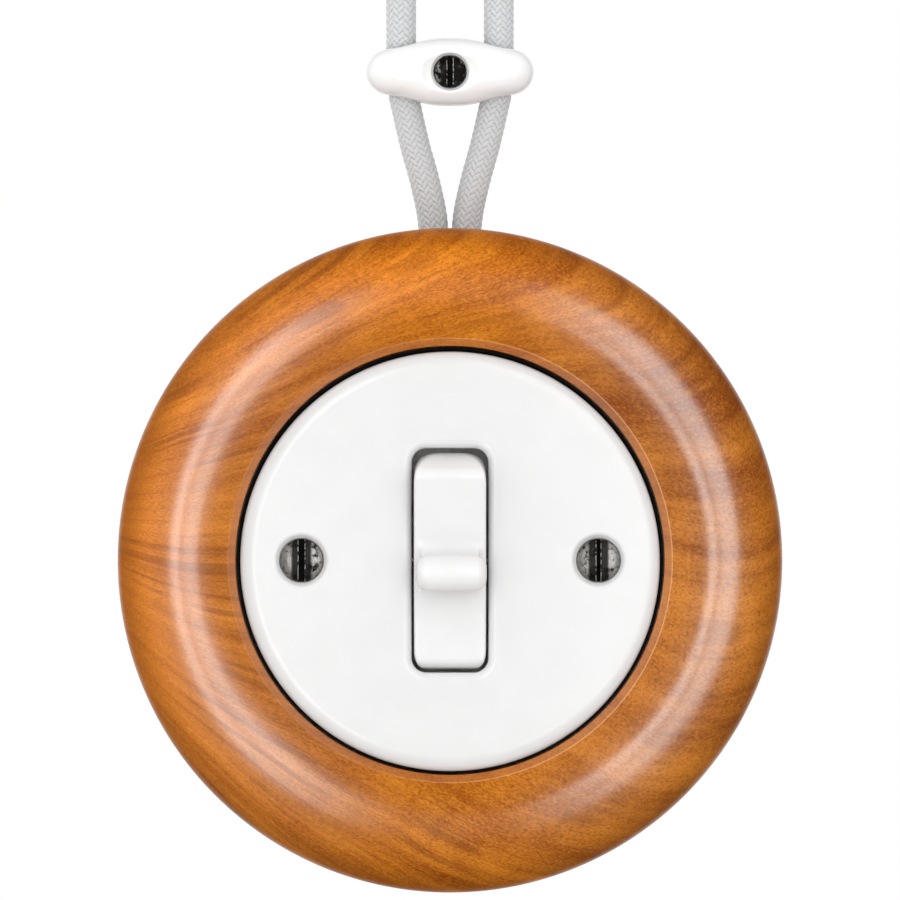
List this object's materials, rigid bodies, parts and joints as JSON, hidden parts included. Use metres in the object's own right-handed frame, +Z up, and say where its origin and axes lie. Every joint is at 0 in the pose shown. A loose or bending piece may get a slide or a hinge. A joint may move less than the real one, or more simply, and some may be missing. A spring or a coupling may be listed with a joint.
{
  "type": "surface mounted rocker switch",
  "caption": "Round rocker switch with a porcelain plate and rocker in a turned wooden surround, fed by two textile cables under a porcelain wall clip.",
  "frame": {"origin": "on the wall plane, at the centre of the round base's back face", "axes": "+X to the right as seen from the front, +Y into the wall, +Z up the wall; the switch stands out towards -Y"},
  "size_m": [0.1344, 0.0463, 0.2082],
  "materials": {
    "porcelain": "white glaze",
    "wood": "honey coloured satin lacquer",
    "black_plastic": "gloss black",
    "grey_plastic": "matt grey",
    "blackened_steel": "blackened and worn",
    "zinc_steel": "zinc plated",
    "spring_steel": "bright",
    "brass": "bright",
    "silver": "bright",
    "textile": "light grey braid",
    "core_brown": "brown core insulation",
    "core_blue": "blue core insulation",
    "core_green": "green and yellow core insulation"
  },
  "bodies": {
    "switch": {"base_plate": "grey_plastic", "wall_screw_1": "zinc_steel", "wall_screw_2": "zinc_steel", "wood_frame": "wood", "seat_ring": "black_plastic", "cover_plate": "porcelain", "cover_screw_left": "blackened_steel", "cover_screw_right": "blackened_steel", "support_ring": "zinc_steel", "support_screw_1": "zinc_steel", "support_screw_2": "zinc_steel", "support_screw_3": "zinc_steel", "support_screw_4": "zinc_steel", "mechanism_housing": "grey_plastic", "mechanism_cover": "grey_plastic", "mechanism_screw_1": "zinc_steel", "mechanism_screw_2": "zinc_steel", "pivot_pin": "spring_steel", "common_contact": "brass", "fixed_contact_upper": "brass", "fixed_contact_lower": "brass", "terminal_common": "brass", "terminal_upper": "brass", "terminal_lower": "brass", "terminal_screw_1": "zinc_steel", "terminal_screw_2": "zinc_steel", "terminal_screw_3": "zinc_steel", "cord_clamp": "grey_plastic", "clamp_screw_1": "zinc_steel", "clamp_screw_2": "zinc_steel", "neutral_connector": "brass", "earth_connector": "brass", "connector_screw_1": "zinc_steel", "connector_screw_2": "zinc_steel", "connector_screw_3": "zinc_steel", "connector_screw_4": "zinc_steel", "cable_left": "textile", "cable_right": "textile", "live_core_left": "core_brown", "live_core_right": "core_brown", "neutral_core_left": "core_blue", "neutral_core_right": "core_blue", "earth_core_left": "core_green", "earth_core_right": "core_green", "cable_clip": "porcelain", "clip_screw": "blackened_steel", "cable_end_left": "black_plastic", "cable_end_right": "black_plastic"},
    "rocker": {"rocker_cap": "porcelain", "rocker_carrier": "grey_plastic", "plunger_spring": "spring_steel"},
    "plunger": {"plunger": "zinc_steel"},
    "lever": {"contact_lever": "brass", "contact_tip_upper": "silver", "contact_tip_lower": "silver"}
  },
  "joints": [
    {"name": "rocker_tilt", "type": "hinge", "parent": "switch", "child": "rocker", "pos_m": [0, -0.0285, 0], "axis": [1, 0, 0], "range_deg": [-20, 0]},
    {"name": "plunger_slide", "type": "slide", "parent": "rocker", "child": "plunger", "axis": [0, -0.9848, -0.1736], "range_m": [0, 0.0008], "stiffness_N_per_m": 1500, "springref_m": -0.001, "deforming": ["plunger_spring"]},
    {"name": "contact_tilt", "type": "hinge", "parent": "switch", "child": "lever", "pos_m": [0, -0.0125, 0], "axis": [1, 0, 0], "range_deg": [0, 12]}
  ],
  "couplings": [
    {"joint": "contact_tilt", "follows": "rocker_tilt", "ratio": -0.6}
  ]
}
